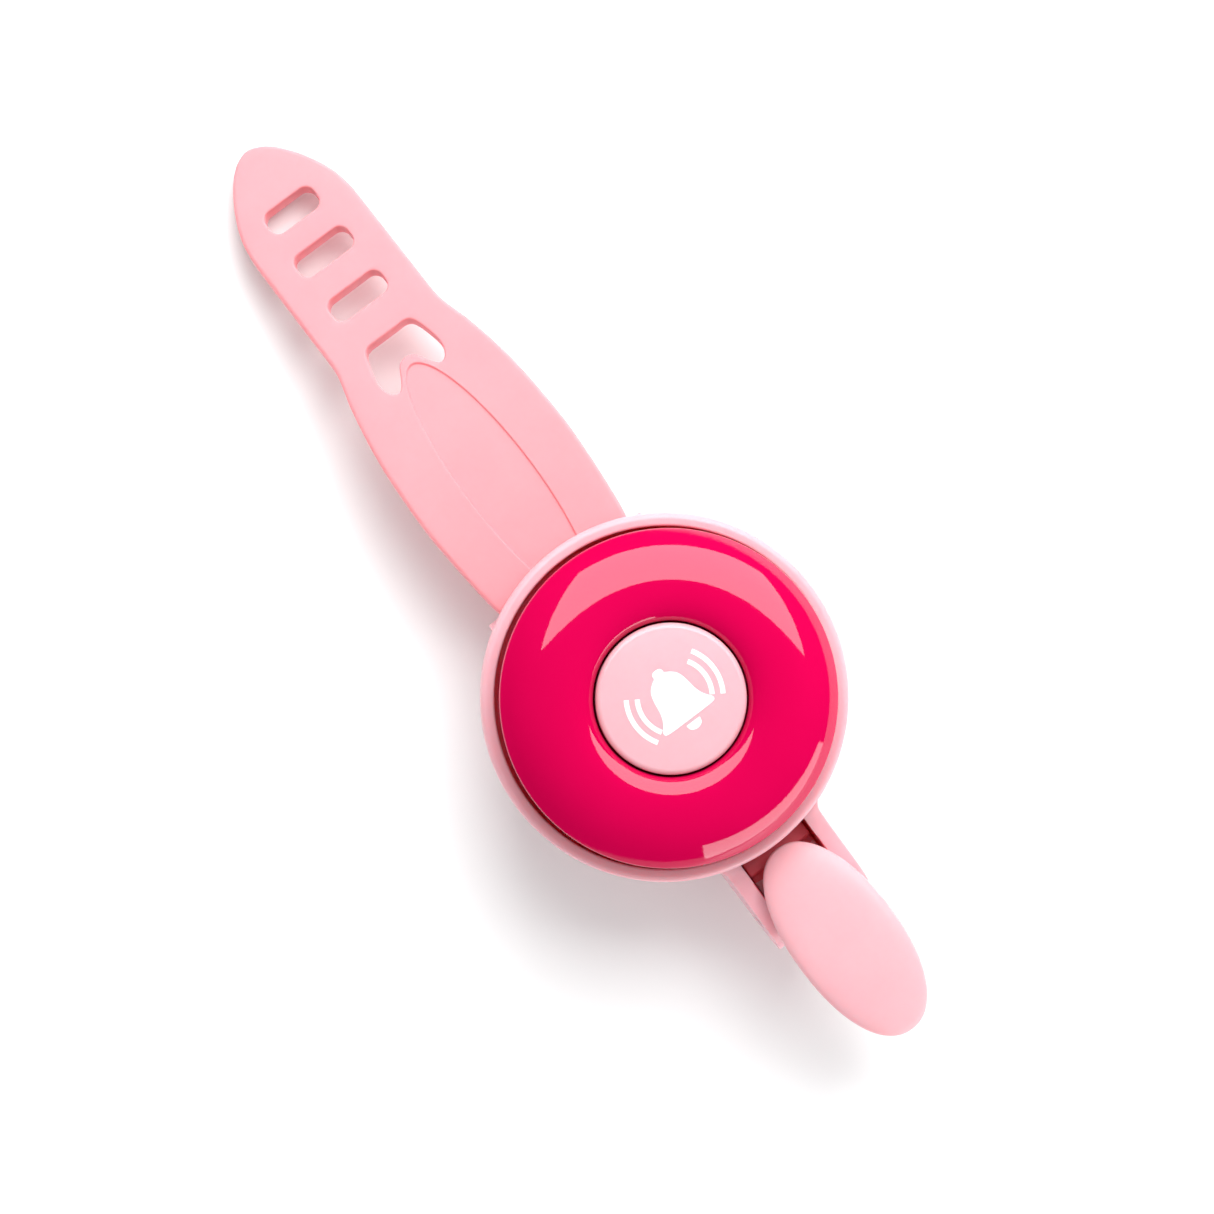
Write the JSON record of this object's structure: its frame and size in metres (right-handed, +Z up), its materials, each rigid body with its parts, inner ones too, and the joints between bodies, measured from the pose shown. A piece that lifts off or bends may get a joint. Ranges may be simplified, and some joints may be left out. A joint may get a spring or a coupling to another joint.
{
  "type": "handlebar bell",
  "caption": "Small round handlebar bell with a glossy domed sounder in a cup, a hinged thumb lever with a sprung hammer, and a slotted silicone strap.",
  "frame": {"origin": "on the bell's axis, on the flat band of the saddle pad that sits on the handlebar", "axes": "+Z up along the bell's axis, +X toward the thumb lever, the strap along -X, +Y along the handlebar"},
  "size_m": [0.1332, 0.0442, 0.028],
  "materials": {
    "satin_pink_plastic": "satin",
    "gloss_pink_plastic": "semi-gloss",
    "magenta_paint": "high gloss",
    "pink_silicone": "soft matte",
    "pad_silicone": "soft matte",
    "steel": "bright",
    "spring_steel": "bright",
    "brass": "plain",
    "dark_rubber": "matte",
    "white_nylon": "matte"
  },
  "bodies": {
    "base": {"base_housing": "satin_pink_plastic", "bottom_cover": "satin_pink_plastic", "saddle_pad": "pad_silicone", "strap_pin": "steel", "pivot_pin": "steel", "cover_screw_1": "steel", "cover_screw_2": "steel", "cover_screw_3": "steel", "cover_screw_4": "steel", "bell_dome": "magenta_paint", "isolator_lower": "dark_rubber", "isolator_upper": "dark_rubber", "cap_retainer": "white_nylon", "dome_washer": "steel", "dome_screw": "steel", "post_insert": "brass", "centre_cap": "gloss_pink_plastic", "return_spring": "spring_steel", "lever_bumper": "dark_rubber"},
    "lever": {"thumb_lever": "satin_pink_plastic", "hammer_leaf": "spring_steel", "leaf_rivet": "steel"},
    "hammer": {"hammer_head": "brass"},
    "strap": {"strap": "pink_silicone"}
  },
  "joints": [
    {"name": "lever_press", "type": "hinge", "parent": "base", "child": "lever", "pos_m": [0.029, 0, 0.003], "axis": [0, 1, 0], "range_deg": [0, 12], "stiffness_Nm_per_rad": 0.2, "springref_deg": -5.73, "deforming": ["return_spring"]},
    {"name": "hammer_flex", "type": "hinge", "parent": "lever", "child": "hammer", "pos_m": [0.0125, 0, 0.0066], "axis": [0, 1, 0], "range_deg": [-5, 5], "stiffness_Nm_per_rad": 0.02, "deforming": ["hammer_leaf"]},
    {"name": "strap_swing", "type": "hinge", "parent": "base", "child": "strap", "pos_m": [-0.017, 0, 0.0036], "axis": [0, -1, 0], "range_deg": [-5, 75]}
  ]
}
